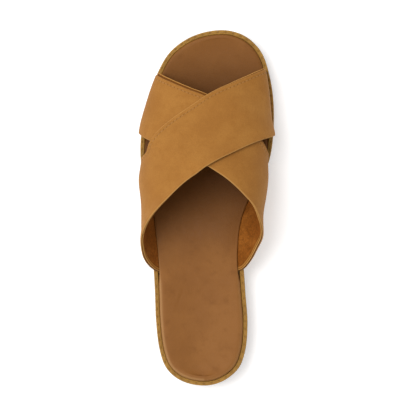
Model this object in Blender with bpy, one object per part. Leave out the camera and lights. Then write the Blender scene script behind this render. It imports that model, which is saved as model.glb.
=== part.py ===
"""Cross strap sandal: a left shoe, empty, standing on its sole.

Two wide leather straps cross over the instep. Each goes down into the groove between the stitched
welt and the padded footbed. Metres, +Z up, toe towards +Y, inner side of the foot towards +X.
The origin is on the floor under the middle of the shoe.
"""
import math
from collections import namedtuple

import bmesh
import bpy
from mathutils import Vector

MM = 0.001

# Driving sizes of the shoe
LENGTH = 255.0 * MM           # sole, heel tip to toe tip
BALL_WIDTH = 96.0 * MM        # sole across the ball
HEEL_WIDTH = 66.0 * MM        # sole across the heel
INSTEP = 50.0 * MM            # height of the straps' arch over the footbed, at the crossing
HEEL_HEIGHT = 21.0 * MM       # floor to the welt's top, heel
BALL_HEIGHT = 15.5 * MM       # floor to the welt's top, ball
TOE_SPRING = 7.0 * MM         # rise of the sole at the toe tip
HEEL_LIFT = 1.5 * MM          # rise of the sole at the heel tip
ARCH_LIFT = 1.5 * MM          # rise of the sole under the waist

# Layers and walls
OUTSOLE_THICK = 4.5 * MM
LUG_DEPTH = 1.8 * MM
GROOVE_WIDTH = 2.4 * MM
GROOVE_PITCH = 9.0 * MM
GROOVE_WAVE = 2.6 * MM        # how far a tread groove swings to and fro
GROOVE_BENDS = 4              # straight stretches of a tread groove
TREAD_BORDER = 7.0 * MM       # plain rubber kept round the tread
OUTSOLE_INSET = 0.9 * MM
OUTSOLE_BEVEL = 1.3 * MM
MIDSOLE_INSET = 0.5 * MM
MIDSOLE_STEP = 0.9 * MM       # depth of the line pressed round the midsole
STEP_HEIGHT = 1.1 * MM        # height of that line
STEP_LEVEL = 0.42             # where it runs, as a share of the midsole's thickness
WELT_WIDTH = 2.9 * MM
WELT_THICK = 3.0 * MM
WELT_ROUND = 0.7 * MM
SEAM_WIDTH = 0.7 * MM         # open line between welt and footbed
FOOTBED_RISE = 2.6 * MM       # footbed's edge over the welt's top
FOOTBED_ROUND = 3.4 * MM      # radius of its padded edge
HEEL_CUP = 2.6 * MM
TOE_DISH = 0.9 * MM
DISH_POWER = 0.8              # below 1 the hollow has a flat floor and steep sides
DISH_FADE = 0.06              # share of LENGTH at each tip where the hollow runs out
ARCH_RISE = 2.2 * MM          # arch support on the inner side
ARCH_LEAD = 0.05              # share of LENGTH by which it starts behind the waist
STRAP_WALL = 2.2 * MM         # leather and lining
EDGE_ROLL = 0.25 * MM         # how proud the turned edge stands
EDGE_WIDTH = 3.2 * MM         # width of the turned edge
EDGE_FADE = 0.08              # share of the girth over which the roll runs out into the groove
LIP_OUTSIDE = 0.25            # share of the wall by which the edge is rounded on the outer face
LIP_INSIDE = 0.20             # and on the lining's face
LIP_WIDTH = 0.2               # share of EDGE_WIDTH that is rounded
STRAP_BITE = 0.5 * MM         # how far the over strap is pressed into the under strap
RAMP_START = 2.5 * MM         # over strap stays up this far past the under strap's edge
RAMP_LENGTH = 8.5 * MM        # and comes down over this length
CLEAR = 0.3 * MM              # between pieces that meet
RECESS_MARGIN = 3.0 * MM      # the footbed stays back this far past each strap's foot
RECESS_RAMP = 6.0 * MM        # and comes out to the welt over this length

# How finely curves are divided
STATIONS = 60                 # rows from heel tip to toe tip
GIRTH_STEPS = 38              # rows of a strap between its two feet
FOOT_GIRTH = 0.017            # share of a strap's way round that stands in the groove
STRAP_COLUMNS = 8             # across a strap, between its turned edges
FOOTBED_COLUMNS = 8
ROUND_ROWS = 3                # rows up the footbed's rounded edge
SECTION_STEPS = 20            # points along each quarter of a section of the last
NUDGE = 0.001                 # share by which a point is moved to find a direction
GIRTH_NUDGE = 0.004           # the same along a strap
SHARP_ANGLE = 35              # degrees between faces past which an edge is shaded sharp

# Side wall of a strap: shares of its swell and climb at which the curve's two handles lie
WALL_LEAN = 0.40
WALL_RISE = 0.35
WALL_UPRIGHT = 0.45

OUTER, INNER = -1, 1          # sides of a left foot

# Shares of LENGTH where the sole changes
HEEL_FLAT = 0.07
WAIST_START = 0.30
WAIST_END = 0.58
BALL_START = 0.62
TOE_FLAT = 0.76
RAMP_DOWN_START = 0.28
RAMP_DOWN_END = 0.70
TOE_CURL = 1.8                # power of the toe spring's curve

# Outline of the sole. along: share of LENGTH from the heel tip. outer, inner: how far each side
# lies from the middle line, as shares of the width there.
Outline = namedtuple("Outline", "along outer inner")
OUTLINE = [
    Outline(0.000, -0.027, -0.027),
    Outline(0.020, -0.322, 0.226),
    Outline(0.050, -0.442, 0.350),
    Outline(0.100, -0.512, 0.421),
    Outline(0.180, -0.551, 0.444),
    Outline(0.280, -0.567, 0.417),
    Outline(0.387, -0.550, 0.371),
    Outline(0.468, -0.509, 0.358),
    Outline(0.524, -0.490, 0.393),
    Outline(0.577, -0.485, 0.424),
    Outline(0.655, -0.501, 0.480),
    Outline(0.712, -0.494, 0.498),
    Outline(0.768, -0.467, 0.502),
    Outline(0.825, -0.430, 0.492),
    Outline(0.881, -0.370, 0.464),
    Outline(0.938, -0.278, 0.409),
    Outline(0.972, -0.165, 0.330),
    Outline(1.000, 0.115, 0.115),
]

# Sections of the last under the straps. crest and the two widest points are heights, as shares of
# INSTEP. ridge and the two swells are distances across, as shares of BALL_WIDTH: ridge is where
# the crest lies, a swell is how far the side stands out past the strap's foot.
Section = namedtuple("Section", "along crest ridge swell_outer swell_inner wide_outer wide_inner")
LAST = [
    Section(0.30, 1.34, 0.000, 0.080, 0.135, 0.40, 0.50),
    Section(0.42, 1.26, 0.010, 0.085, 0.184, 0.42, 0.52),
    Section(0.52, 1.14, 0.030, 0.059, 0.122, 0.40, 0.48),
    Section(0.58, 1.06, 0.042, 0.052, 0.083, 0.37, 0.44),
    Section(0.64, 0.96, 0.055, 0.016, 0.030, 0.32, 0.38),
    Section(0.71, 0.82, 0.070, 0.040, 0.026, 0.28, 0.32),
    Section(0.82, 0.60, 0.080, 0.030, 0.014, 0.22, 0.24),
    Section(0.90, 0.48, 0.080, 0.034, 0.022, 0.18, 0.20),
]

# Edges of the straps. girth: share of the way round the last, 0 at the outer foot and 1 at the
# inner foot. along: share of LENGTH.
Edge = namedtuple("Edge", "girth along")
OVER_FRONT = [
    Edge(0.00, 0.622), Edge(0.10, 0.640), Edge(0.20, 0.665), Edge(0.25, 0.706), Edge(0.31, 0.744),
    Edge(0.38, 0.778), Edge(0.465, 0.815), Edge(0.59, 0.847), Edge(0.705, 0.869), Edge(0.80, 0.884),
    Edge(0.92, 0.892), Edge(1.00, 0.880),
]
OVER_REAR = [
    Edge(0.00, 0.316), Edge(0.05, 0.328), Edge(0.11, 0.362), Edge(0.16, 0.398), Edge(0.22, 0.438),
    Edge(0.28, 0.480), Edge(0.34, 0.520), Edge(0.42, 0.575), Edge(0.495, 0.613), Edge(0.60, 0.650),
    Edge(0.715, 0.682), Edge(0.83, 0.700), Edge(1.00, 0.706),
]
UNDER_FRONT = [
    Edge(0.00, 0.871), Edge(0.10, 0.880), Edge(0.215, 0.865), Edge(0.295, 0.850), Edge(0.365, 0.836),
    Edge(0.465, 0.815), Edge(0.60, 0.765), Edge(0.70, 0.720), Edge(0.765, 0.690), Edge(0.83, 0.665),
    Edge(0.90, 0.655), Edge(1.00, 0.650),
]
UNDER_REAR = [
    Edge(0.00, 0.712), Edge(0.105, 0.709), Edge(0.225, 0.685), Edge(0.36, 0.655), Edge(0.495, 0.613),
    Edge(0.565, 0.585), Edge(0.665, 0.530), Edge(0.71, 0.505), Edge(0.76, 0.470), Edge(0.82, 0.432),
    Edge(0.87, 0.398), Edge(0.91, 0.357), Edge(0.95, 0.331), Edge(1.00, 0.320),
]

# Tread: share of LENGTH where each field of grooves starts and ends
Field = namedtuple("Field", "start end")
TREAD_FIELDS = [Field(0.055, 0.300), Field(0.560, 0.930)]

# Finishes: colour, roughness
Finish = namedtuple("Finish", "colour roughness")
FINISHES = {
    "outsole": Finish((0.100, 0.050, 0.022), 0.75),
    "midsole": Finish((0.350, 0.180, 0.050), 0.80),
    "welt": Finish((0.330, 0.165, 0.045), 0.75),
    "footbed": Finish((0.235, 0.105, 0.033), 0.60),
    "upper": Finish((0.390, 0.172, 0.043), 0.85),
}


def ease(low, high, value):
    """0 below low, 1 above high, and a smooth rise between."""
    share = min(1.0, max(0.0, (value - low) / (high - low)))
    return share * share * (3 - 2 * share)


def smooth_curve(points, value):
    """Height at value of the smooth curve through points, each a pair of place and height."""
    places = [point[0] for point in points]
    heights = [point[1] for point in points]
    value = min(places[-1], max(places[0], value))
    k = max(i for i in range(len(points) - 1) if places[i] <= value)

    def slope(i):
        rises = [
            (heights[j + 1] - heights[j]) / (places[j + 1] - places[j])
            for j in (i - 1, i) if 0 <= j < len(points) - 1
        ]
        if len(rises) == 1:
            return rises[0]
        before, after = places[i] - places[i - 1], places[i + 1] - places[i]
        return (rises[0] * after + rises[1] * before) / (before + after)

    span = places[k + 1] - places[k]
    t = (value - places[k]) / span
    start = heights[k] * (1 + 2 * t) * (1 - t) ** 2 + slope(k) * span * t * (1 - t) ** 2
    end = heights[k + 1] * t * t * (3 - 2 * t) - slope(k + 1) * span * t * t * (1 - t)
    return start + end


def local_width(along):
    """Width that the outline's shares are taken of: the heel's, then the ball's."""
    return HEEL_WIDTH + (BALL_WIDTH - HEEL_WIDTH) * ease(WAIST_START, BALL_START, along)


def turn_of(along):
    """Half turn of the outline, 0 at the heel tip and 1 at the toe tip."""
    return math.acos(1 - 2 * min(1.0, max(0.0, along))) / math.pi


SIDES = {
    OUTER: [(turn_of(row.along), row.outer * local_width(row.along)) for row in OUTLINE],
    INNER: [(turn_of(row.along), row.inner * local_width(row.along)) for row in OUTLINE],
}


def along_of(y):
    """Share of LENGTH at a place y."""
    return y / LENGTH + 0.5


def outline_point(lap):
    """Point of the outline. lap runs 0 to 1 up the outer side, then 1 to 2 down the inner side."""
    lap %= 2
    side, turn = (OUTER, lap) if lap <= 1 else (INNER, 2 - lap)
    return Vector((smooth_curve(SIDES[side], turn), -LENGTH / 2 * math.cos(math.pi * turn)))


def inset_point(lap, inset):
    """Point of the outline, moved inwards square to it."""
    heading = (outline_point(lap + NUDGE) - outline_point(lap - NUDGE)).normalized()
    return outline_point(lap) + Vector((heading.y, -heading.x)) * inset


def inset_x(along, side, inset):
    """Place across the shoe of one side of the outline, moved inwards square to it."""
    turn = turn_of(along)
    low, high = along - NUDGE, along + NUDGE
    rise = smooth_curve(SIDES[side], turn_of(high)) - smooth_curve(SIDES[side], turn_of(low))
    slope = rise / ((high - low) * LENGTH)
    return smooth_curve(SIDES[side], turn) - side * inset * math.hypot(1, slope)


def ground(along):
    """Underside of the sole."""
    toe = TOE_SPRING * (max(0.0, along - TOE_FLAT) / (1 - TOE_FLAT)) ** TOE_CURL
    heel = HEEL_LIFT * (max(0.0, HEEL_FLAT - along) / HEEL_FLAT) ** 2
    waist = min(1.0, max(0.0, (along - WAIST_START) / (WAIST_END - WAIST_START)))
    return toe + heel + ARCH_LIFT * math.sin(math.pi * waist) ** 2


def rim(along):
    """Top of the welt."""
    fall = ease(RAMP_DOWN_START, RAMP_DOWN_END, along)
    return ground(along) + HEEL_HEIGHT + (BALL_HEIGHT - HEEL_HEIGHT) * fall


def seat(along):
    """Level on which welt, footbed and the feet of the straps sit."""
    return rim(along) - WELT_THICK


def strap_recess(along, side):
    """How much the footbed steps back to let a strap pass, 0 to 1."""
    foot = 0 if side == OUTER else 1
    margin, ramp = RECESS_MARGIN / LENGTH, RECESS_RAMP / LENGTH
    deepest = 0.0
    for front, rear in ((OVER_FRONT, OVER_REAR), (UNDER_FRONT, UNDER_REAR)):
        start = smooth_curve(rear, foot) - margin
        end = smooth_curve(front, foot) + margin
        inside = ease(start - ramp, start, along) * (1 - ease(end, end + ramp, along))
        deepest = max(deepest, inside)
    return deepest


def add_ring(bm, inset, height, recess=None):
    """Ring of points round the shoe, inset from the outline, at height(along)."""
    ring = []
    for step in range(2 * STATIONS):
        lap = step / STATIONS
        extra = 0.0
        if recess:
            side = OUTER if lap <= 1 else INNER
            extra = recess(along_of(outline_point(lap).y), side)
        spot = inset_point(lap, inset + extra)
        ring.append(bm.verts.new((spot.x, spot.y, height(along_of(spot.y)))))
    return ring


def join_rings(bm, lower, upper):
    """Wall between two rings with the same number of points."""
    for i in range(len(lower)):
        j = (i + 1) % len(lower)
        bm.faces.new((lower[i], upper[i], upper[j], lower[j]))


def fill_ring(bm, ring, columns=1, relief=None):
    """Surface inside a ring, in rows from its outer to its inner side. relief(along, share) is
    added to the height of the points between."""
    rows = [[ring[0]]]
    for k in range(1, STATIONS):
        start, end = ring[k], ring[-k]
        row = [start]
        for column in range(1, columns):
            share = column / columns
            spot = start.co.lerp(end.co, share)
            spot.z += relief(along_of(spot.y), share)
            row.append(bm.verts.new(spot))
        rows.append(row + [end])
    rows.append([ring[STATIONS]])
    for k in range(1, STATIONS - 1):
        for column in range(columns):
            near, far = rows[k], rows[k + 1]
            bm.faces.new((near[column], near[column + 1], far[column + 1], far[column]))
    for tip, row in ((rows[0][0], rows[1]), (rows[-1][0], rows[-2])):
        for column in range(columns):
            bm.faces.new((tip, row[column], row[column + 1]))


def make_material(name):
    finish = FINISHES[name]
    material = bpy.data.materials.new(name)
    material.use_nodes = True
    shader = material.node_tree.nodes["Principled BSDF"]
    shader.inputs["Base Color"].default_value = (*finish.colour, 1.0)
    shader.inputs["Roughness"].default_value = finish.roughness
    return material


def make_object(name, bm, collection, parent=None):
    """Object from a closed mesh, with its faces pointing out and shaded smooth."""
    bmesh.ops.recalc_face_normals(bm, faces=bm.faces[:])
    bmesh.ops.triangulate(bm, faces=bm.faces[:])
    mesh = bpy.data.meshes.new(name)
    bm.to_mesh(mesh)
    bm.free()
    mesh.shade_smooth()
    mesh.set_sharp_from_angle(angle=math.radians(SHARP_ANGLE))
    piece = bpy.data.objects.new(name, mesh)
    collection.objects.link(piece)
    piece.parent = parent
    if name in FINISHES:
        mesh.materials.append(make_material(name))
    return piece


def cut_with(piece, cutter, operation):
    """Live boolean of the piece with a cutter that stays hidden."""
    cutter.hide_render = True
    cutter.display_type = "WIRE"
    modifier = piece.modifiers.new(cutter.name, "BOOLEAN")
    modifier.object = cutter
    modifier.operation = operation
    modifier.solver = "EXACT"


def add_groove(bm, along):
    """One wavy tread groove across the sole, as a bar that reaches from below into the rubber."""
    start = inset_x(along, OUTER, OUTSOLE_INSET + TREAD_BORDER)
    end = inset_x(along, INNER, OUTSOLE_INSET + TREAD_BORDER)
    middle = (along - 0.5) * LENGTH
    corners = []
    for i in range(GROOVE_BENDS + 1):
        x = start + (end - start) * i / GROOVE_BENDS
        y = middle + (GROOVE_WAVE / 2 if i % 2 else -GROOVE_WAVE / 2)
        low, high = -LUG_DEPTH, ground(along) + LUG_DEPTH
        corners.append([
            bm.verts.new((x, y + reach, z))
            for reach, z in ((-GROOVE_WIDTH / 2, low), (GROOVE_WIDTH / 2, low),
                             (GROOVE_WIDTH / 2, high), (-GROOVE_WIDTH / 2, high))
        ])
    for near, far in zip(corners, corners[1:]):
        for i in range(4):
            j = (i + 1) % 4
            bm.faces.new((near[i], near[j], far[j], far[i]))
    bm.faces.new(corners[0])
    bm.faces.new(corners[-1])


def make_outsole(parts, cutters, parent):
    bm = bmesh.new()

    def top(along):
        return ground(along) + OUTSOLE_THICK

    rings = [
        add_ring(bm, OUTSOLE_INSET + OUTSOLE_BEVEL, ground),
        add_ring(bm, OUTSOLE_INSET, lambda along: ground(along) + OUTSOLE_BEVEL),
        add_ring(bm, OUTSOLE_INSET, top),
    ]
    fill_ring(bm, rings[0])
    for lower, upper in zip(rings, rings[1:]):
        join_rings(bm, lower, upper)
    fill_ring(bm, rings[-1])
    outsole = make_object("outsole", bm, parts, parent)

    bm = bmesh.new()
    for field in TREAD_FIELDS:
        count = int((field.end - field.start) * LENGTH / GROOVE_PITCH)
        for i in range(count + 1):
            add_groove(bm, field.start + (field.end - field.start) * i / count)
    cut_with(outsole, make_object("tread_cutter", bm, cutters), "DIFFERENCE")


def make_midsole(parts, parent):
    bm = bmesh.new()

    def level(share, shift=0.0):
        """Height at a share of the midsole's own thickness."""
        def height(along):
            bottom = ground(along) + OUTSOLE_THICK + CLEAR
            top = seat(along) - CLEAR
            return bottom + (top - bottom) * share + shift
        return height

    half_step = STEP_HEIGHT / 2
    rings = [
        add_ring(bm, MIDSOLE_INSET, level(0)),
        add_ring(bm, MIDSOLE_INSET, level(STEP_LEVEL, -half_step)),
        add_ring(bm, MIDSOLE_INSET + MIDSOLE_STEP, level(STEP_LEVEL)),
        add_ring(bm, MIDSOLE_INSET, level(STEP_LEVEL, half_step)),
        add_ring(bm, MIDSOLE_INSET, level(1)),
    ]
    fill_ring(bm, rings[0])
    for lower, upper in zip(rings, rings[1:]):
        join_rings(bm, lower, upper)
    fill_ring(bm, rings[-1])
    make_object("midsole", bm, parts, parent)


def make_welt(parts, parent):
    """Closed strip round the shoe, its outer top edge rounded."""
    bm = bmesh.new()
    profile = [
        (0.0, 0.0),
        (0.0, WELT_THICK - WELT_ROUND),
        (WELT_ROUND, WELT_THICK),
        (WELT_WIDTH - WELT_ROUND / 2, WELT_THICK),
        (WELT_WIDTH, WELT_THICK - WELT_ROUND / 2),
        (WELT_WIDTH, 0.0),
    ]
    rings = [
        add_ring(bm, inset, lambda along, rise=rise: seat(along) + rise)
        for inset, rise in profile
    ]
    for i, ring in enumerate(rings):
        join_rings(bm, ring, rings[(i + 1) % len(rings)])
    make_object("welt", bm, parts, parent)


def footbed_relief(along, share):
    """Hollow of the footbed: a cup at the heel, a shallow dish at the ball, and the arch."""
    depth = HEEL_CUP + (TOE_DISH - HEEL_CUP) * ease(WAIST_START, BALL_START, along)
    dish = depth * math.sin(math.pi * share) ** DISH_POWER
    arch_start = WAIST_START - ARCH_LEAD
    inside_waist = min(1.0, max(0.0, (along - arch_start) / (WAIST_END - arch_start)))
    arch = ARCH_RISE * math.sin(math.pi * inside_waist) ** 2 * math.sin(math.pi * share ** 2)
    tips = ease(0, DISH_FADE, along) * (1 - ease(1 - DISH_FADE, 1, along))
    return (arch - dish) * tips


def make_footbed(parts, parent):
    bm = bmesh.new()
    passage = STRAP_WALL + 2 * CLEAR - SEAM_WIDTH

    def recess(along, side):
        return passage * strap_recess(along, side)

    wall = WELT_WIDTH + SEAM_WIDTH
    top = WELT_THICK + FOOTBED_RISE
    rings = [add_ring(bm, wall, seat, recess)]
    for i in range(ROUND_ROWS + 1):
        bend = math.pi / 2 * i / ROUND_ROWS
        inset = wall + FOOTBED_ROUND * (1 - math.cos(bend))
        rise = top - FOOTBED_ROUND * (1 - math.sin(bend))
        rings.append(add_ring(bm, inset, lambda along, rise=rise: seat(along) + rise, recess))
    fill_ring(bm, rings[0])
    for lower, upper in zip(rings, rings[1:]):
        join_rings(bm, lower, upper)
    fill_ring(bm, rings[-1], FOOTBED_COLUMNS, footbed_relief)
    make_object("footbed", bm, parts, parent)


def half_section(along, side):
    """Half of a section of the last, from the strap's foot in the groove up to the crest."""
    place = min(LAST[-1].along, max(LAST[0].along, along))
    crest, ridge, swell, wide = (
        smooth_curve([(row.along, getattr(row, column)) for row in LAST], place)
        for column in (
            "crest", "ridge",
            "swell_outer" if side == OUTER else "swell_inner",
            "wide_outer" if side == OUTER else "wide_inner",
        )
    )
    foot_x = inset_x(along, side, WELT_WIDTH + CLEAR + STRAP_WALL / 2)
    start = Vector((foot_x, rim(along) + CLEAR))
    widest = Vector((foot_x + side * swell * BALL_WIDTH, rim(along) + wide * INSTEP))
    top = Vector((ridge * BALL_WIDTH, rim(along) + FOOTBED_RISE + crest * INSTEP))
    climb = widest.y - start.y
    lower = Vector((start.x + (widest.x - start.x) * WALL_LEAN, start.y + climb * WALL_RISE))
    upper = Vector((widest.x, widest.y - climb * WALL_UPRIGHT))
    points = [Vector((foot_x, seat(along)))]
    for i in range(SECTION_STEPS + 1):
        t = i / SECTION_STEPS
        side_wall = start * (1 - t) ** 3 + lower * 3 * t * (1 - t) ** 2
        points.append(side_wall + upper * 3 * t * t * (1 - t) + widest * t ** 3)
    for i in range(1, SECTION_STEPS + 1):
        bend = math.pi / 2 * i / SECTION_STEPS
        points.append(Vector((
            top.x + (widest.x - top.x) * math.cos(bend),
            widest.y + (top.y - widest.y) * math.sin(bend),
        )))
    return points


def last_point(along, girth):
    """Point of the straps' middle layer."""
    side, reach = (OUTER, girth) if girth <= 0.5 else (INNER, 1 - girth)
    foot, *arch = half_section(along, side)
    if reach < FOOT_GIRTH:
        spot = foot.lerp(arch[0], reach / FOOT_GIRTH)
    else:
        lengths = [(b - a).length for a, b in zip(arch, arch[1:])]
        left = (reach - FOOT_GIRTH) / (0.5 - FOOT_GIRTH) * sum(lengths)
        k = 0
        while k < len(lengths) - 1 and left > lengths[k]:
            left -= lengths[k]
            k += 1
        spot = arch[k].lerp(arch[k + 1], min(1.0, left / lengths[k]))
    return Vector((spot.x, (along - 0.5) * LENGTH, spot.y))


def last_normal(along, girth):
    """Direction away from the last."""
    low, high = max(0.0, girth - GIRTH_NUDGE), min(1.0, girth + GIRTH_NUDGE)
    round_last = last_point(along, high) - last_point(along, low)
    forward = last_point(along + NUDGE, girth) - last_point(along - NUDGE, girth)
    return round_last.cross(forward).normalized()


def over_lift(along, girth):
    """How far the over strap stands off the last to pass over the under strap."""
    ahead = (along - smooth_curve(UNDER_FRONT, girth)) * LENGTH
    behind = (smooth_curve(UNDER_REAR, girth) - along) * LENGTH
    down = ease(RAMP_START, RAMP_START + RAMP_LENGTH, max(ahead, behind))
    return (STRAP_WALL - STRAP_BITE) * (1 - down)


def no_lift(along, girth):
    return 0.0


def strap_columns(width):
    """Points across a strap, front to rear: share of its width, rise of the outer face and rise of
    the lining. The turned edge is a low roll, round at its lip."""
    lip = [
        (0.0, -STRAP_WALL * LIP_OUTSIDE, STRAP_WALL * LIP_INSIDE),
        (EDGE_WIDTH * LIP_WIDTH, 0.0, 0.0),
        (EDGE_WIDTH / 2, EDGE_ROLL, 0.0),
        (EDGE_WIDTH, 0.0, 0.0),
    ]
    front = [(reach / width, outside, inside) for reach, outside, inside in lip]
    rear = [(1 - share, outside, inside) for share, outside, inside in reversed(front)]
    first, last = front[-1][0], rear[0][0]
    middle = [
        (first + (last - first) * i / STRAP_COLUMNS, 0.0, 0.0) for i in range(1, STRAP_COLUMNS)
    ]
    return front + middle + rear


def strap_mesh(front, rear, lift):
    """Closed strap between its two edges, from foot to foot round the last."""
    bm = bmesh.new()
    rows = []
    arch = [FOOT_GIRTH + (1 - 2 * FOOT_GIRTH) * i / GIRTH_STEPS for i in range(GIRTH_STEPS + 1)]
    for girth in [0.0, *arch, 1.0]:
        start, end = smooth_curve(front, girth), smooth_curve(rear, girth)
        out_of_groove = ease(0, EDGE_FADE, min(girth, 1 - girth))
        outside, inside = [], []
        for share, outer_rise, inner_rise in strap_columns((start - end) * LENGTH):
            along = start + (end - start) * share
            spot, normal = last_point(along, girth), last_normal(along, girth)
            raised = lift(along, girth)
            proud = min(outer_rise, outer_rise * out_of_groove)
            outside.append(bm.verts.new(spot + normal * (raised + STRAP_WALL / 2 + proud)))
            inside.append(bm.verts.new(spot + normal * (raised - STRAP_WALL / 2 + inner_rise)))
        rows.append(outside + inside[::-1])
    for near, far in zip(rows, rows[1:]):
        for i in range(len(near)):
            j = (i + 1) % len(near)
            bm.faces.new((near[i], near[j], far[j], far[i]))
    for row in (rows[0], rows[-1]):
        half = len(row) // 2
        for i in range(half - 1):
            bm.faces.new((row[i], row[i + 1], row[-2 - i], row[-1 - i]))
    return bm


def make_upper(parts, cutters, parent):
    """Both straps as one solid: the over strap is pressed into the under one where they cross."""
    under = strap_mesh(UNDER_FRONT, UNDER_REAR, no_lift)
    over = strap_mesh(OVER_FRONT, OVER_REAR, over_lift)
    upper = make_object("upper", under, parts, parent)
    cut_with(upper, make_object("over_strap", over, cutters), "UNION")


def main():
    for item in list(bpy.data.objects):
        bpy.data.objects.remove(item, do_unlink=True)
    parts = bpy.data.collections.new("cross_strap_sandal")
    cutters = bpy.data.collections.new("cutters")
    for collection in (parts, cutters):
        bpy.context.scene.collection.children.link(collection)
    shoe = bpy.data.objects.new("sandal", None)
    parts.objects.link(shoe)
    make_outsole(parts, cutters, shoe)
    make_midsole(parts, shoe)
    make_welt(parts, shoe)
    make_footbed(parts, shoe)
    make_upper(parts, cutters, shoe)


main()
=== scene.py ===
# %% [markdown]
# A cross strap sandal, a left one, seen from above on a pale table. Two wide nubuck straps cross
# over the instep, and a padded leather footbed lies inside a stitched welt on a wrapped sole.
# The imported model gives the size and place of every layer. This file dresses it: each layer is
# modelled again with its rolled edges, seams and soft creases, and gets the finish of its leather.

# %% Frame
import math
from collections import namedtuple

import bmesh
import bpy
import numpy as np
from mathutils import Matrix, Vector


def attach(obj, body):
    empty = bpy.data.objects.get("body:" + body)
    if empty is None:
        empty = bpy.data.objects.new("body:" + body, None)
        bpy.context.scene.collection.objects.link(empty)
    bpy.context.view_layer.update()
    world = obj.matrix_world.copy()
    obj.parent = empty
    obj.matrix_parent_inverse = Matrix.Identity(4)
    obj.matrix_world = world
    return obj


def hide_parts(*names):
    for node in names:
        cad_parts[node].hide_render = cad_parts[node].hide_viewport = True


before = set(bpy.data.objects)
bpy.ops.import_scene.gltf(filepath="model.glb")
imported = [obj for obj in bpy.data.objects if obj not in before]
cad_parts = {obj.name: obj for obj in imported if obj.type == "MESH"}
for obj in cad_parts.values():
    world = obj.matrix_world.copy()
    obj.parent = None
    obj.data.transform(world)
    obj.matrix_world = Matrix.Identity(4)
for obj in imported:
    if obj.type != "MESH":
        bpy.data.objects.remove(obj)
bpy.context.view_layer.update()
print("nodes:", ", ".join(sorted(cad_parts)))

# %% [markdown]
# A shoe is drawn from a few sizes. Places along it are shares of its length, 0 at the heel and 1
# at the toe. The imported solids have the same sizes, but the straps' feet lie up to about 2 mm
# further out here.

# %% Sizes of the sole
MM = 0.001
LENGTH = 255.0 * MM
BALL_WIDTH = 96.0 * MM
HEEL_WIDTH = 66.0 * MM
HEEL_HEIGHT = 21.0 * MM
BALL_HEIGHT = 15.5 * MM
TOE_SPRING = 7.0 * MM
HEEL_LIFT = 1.5 * MM
ARCH_LIFT = 1.5 * MM
OUTSOLE_THICK = 4.5 * MM
WELT_WIDTH = 2.9 * MM
WELT_THICK = 3.0 * MM
CLEAR = 0.3 * MM
HEEL_FLAT, WAIST_START, WAIST_END, BALL_START, TOE_FLAT = 0.07, 0.30, 0.58, 0.62, 0.76
RAMP_DOWN_START, RAMP_DOWN_END, TOE_CURL = 0.28, 0.70, 1.8
print(f"sole: {LENGTH / MM:.0f} mm long, {BALL_WIDTH / MM:.0f} mm wide at the ball")

# %% [markdown]
# A soft step and a curve through points turn tables into shapes. They take whole arrays of places,
# because a strap has tens of thousands of points.

# %% Soft step and smooth curve
def ease(low, high, value):
    """0 up to low, 1 from high, and a soft step between."""
    share = np.clip((value - low) / (high - low), 0.0, 1.0)
    return share * share * (3 - 2 * share)


def curve(points, values):
    """Smooth curve through pairs of place and height, read at many values."""
    places = np.array([point[0] for point in points])
    heights = np.array([point[1] for point in points])
    spans = np.diff(places)
    rises = np.diff(heights) / spans
    slopes = np.empty_like(heights)
    slopes[0], slopes[-1] = rises[0], rises[-1]
    slopes[1:-1] = (rises[:-1] * spans[1:] + rises[1:] * spans[:-1]) / (spans[:-1] + spans[1:])
    values = np.clip(values, places[0], places[-1])
    k = np.clip(np.searchsorted(places, values, side="right") - 1, 0, len(spans) - 1)
    t = (values - places[k]) / spans[k]
    start = heights[k] * (1 + 2 * t) * (1 - t) ** 2 + slopes[k] * spans[k] * t * (1 - t) ** 2
    end = heights[k + 1] * t * t * (3 - 2 * t) - slopes[k + 1] * spans[k] * t * t * (1 - t)
    return start + end


# %% [markdown]
# Seen from the side, the sole curls up at the toe, lifts under the arch and at the back of the
# heel, and is thicker under the heel.

# %% Heights of the sole
def ground(along):
    """Underside of the sole."""
    toe = TOE_SPRING * (np.maximum(0.0, along - TOE_FLAT) / (1 - TOE_FLAT)) ** TOE_CURL
    heel = HEEL_LIFT * (np.maximum(0.0, HEEL_FLAT - along) / HEEL_FLAT) ** 2
    waist = np.clip((along - WAIST_START) / (WAIST_END - WAIST_START), 0.0, 1.0)
    return toe + heel + ARCH_LIFT * np.sin(np.pi * waist) ** 2


def rim(along):
    """Top of the welt."""
    fall = ease(RAMP_DOWN_START, RAMP_DOWN_END, along)
    return ground(along) + HEEL_HEIGHT + (BALL_HEIGHT - HEEL_HEIGHT) * fall


def seat(along):
    """Top of the midsole, which carries the welt and the footbed."""
    return rim(along) - WELT_THICK


print("rim at heel, ball and toe in mm:", [round(float(rim(s)) / MM, 1) for s in (0.1, 0.7, 1.0)])

# %% [markdown]
# The outline is a table of half widths, as shares of the local width, minus on the outer side. A
# cosine spaces the places along the shoe, which keeps heel and toe round.

# %% Outline of the sole
Outline = namedtuple("Outline", "along outer inner")
OUTLINE = [Outline(*row) for row in (
    (0.000, -0.027, -0.027), (0.020, -0.322, 0.226), (0.050, -0.442, 0.350),
    (0.100, -0.512, 0.421), (0.180, -0.551, 0.444), (0.280, -0.567, 0.417),
    (0.387, -0.550, 0.371), (0.468, -0.509, 0.358), (0.524, -0.490, 0.393),
    (0.577, -0.485, 0.424), (0.655, -0.501, 0.480), (0.712, -0.494, 0.498),
    (0.768, -0.467, 0.502), (0.825, -0.430, 0.492), (0.881, -0.370, 0.464),
    (0.938, -0.278, 0.409), (0.972, -0.165, 0.330), (1.000, 0.115, 0.115),
)]


def local_width(along):
    return HEEL_WIDTH + (BALL_WIDTH - HEEL_WIDTH) * ease(WAIST_START, BALL_START, along)


def turn_of(along):
    return np.arccos(1 - 2 * np.clip(along, 0.0, 1.0)) / np.pi


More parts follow.
